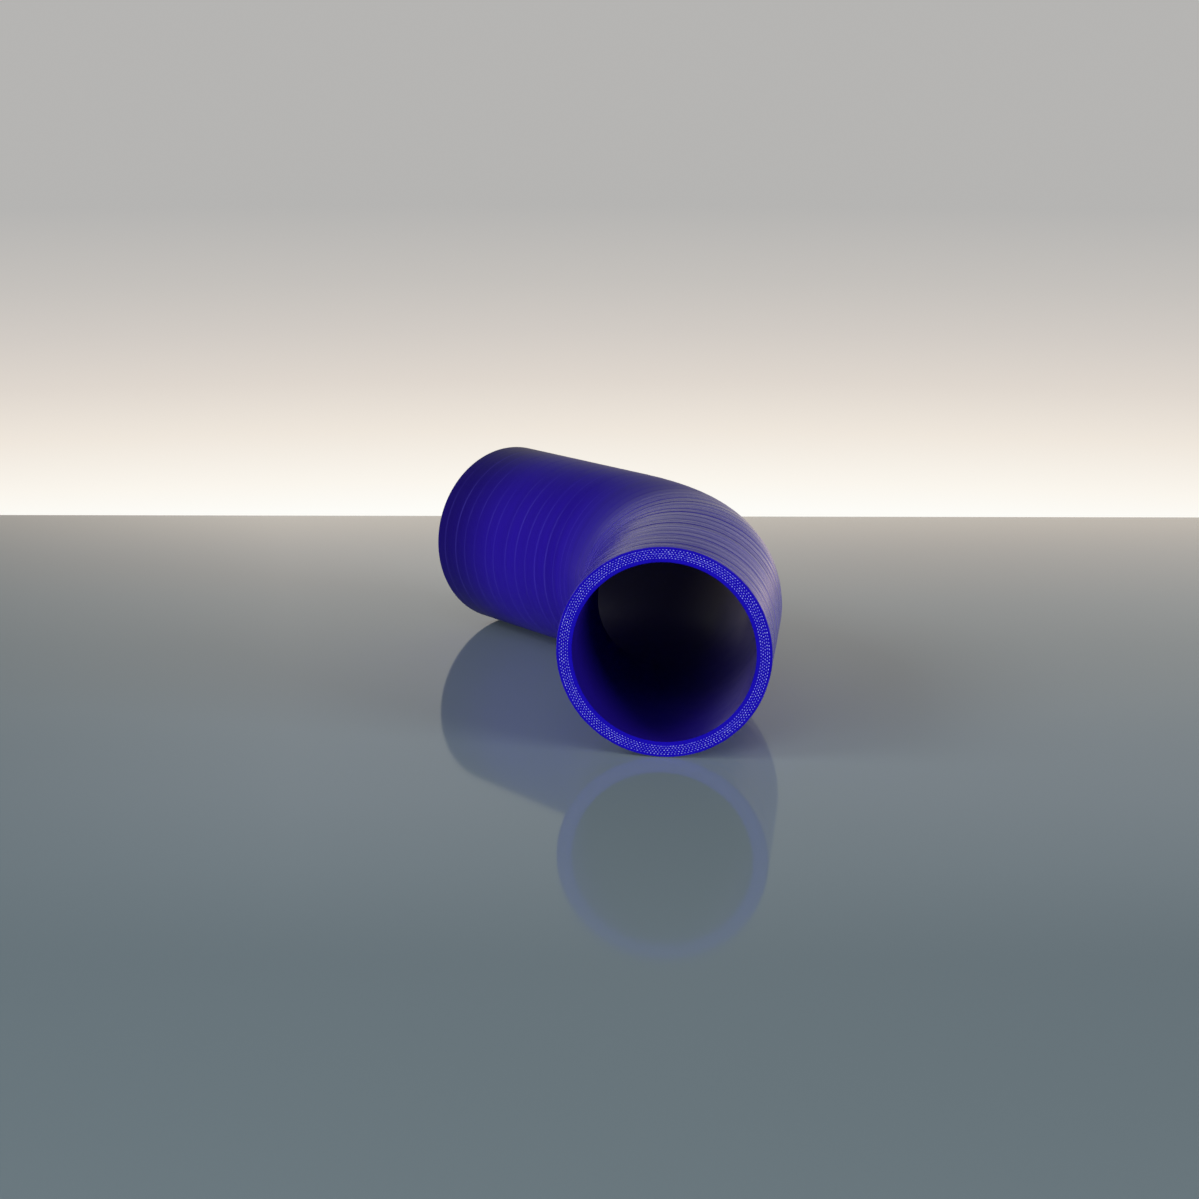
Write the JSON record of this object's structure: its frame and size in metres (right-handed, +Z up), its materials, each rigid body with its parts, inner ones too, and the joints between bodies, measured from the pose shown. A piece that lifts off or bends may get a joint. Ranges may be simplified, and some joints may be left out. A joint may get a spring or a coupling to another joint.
{
  "type": "silicone hose elbow",
  "caption": "Blue silicone hose elbow for coolant or intake air: one moulded tube with a smooth bore, a gentle bend between two straight legs, tape-wrap marks and square-cut reinforced ends.",
  "frame": {"origin": "middle of the elbow's footprint, on the surface that it lies on", "axes": "+Z up, across the plane of the bend; +Y from the near mouth along the shorter leg; the longer leg turns away towards -X and +Y"},
  "size_m": [0.1404, 0.2092, 0.0704],
  "materials": {
    "silicone": "deep blue silicone rubber with a satin gloss and fine tape-wrap marks; the cut ends are brighter blue with rows of pale yarn ends"
  },
  "bodies": {
    "root": {"hose_elbow": "silicone"}
  },
  "joints": []
}
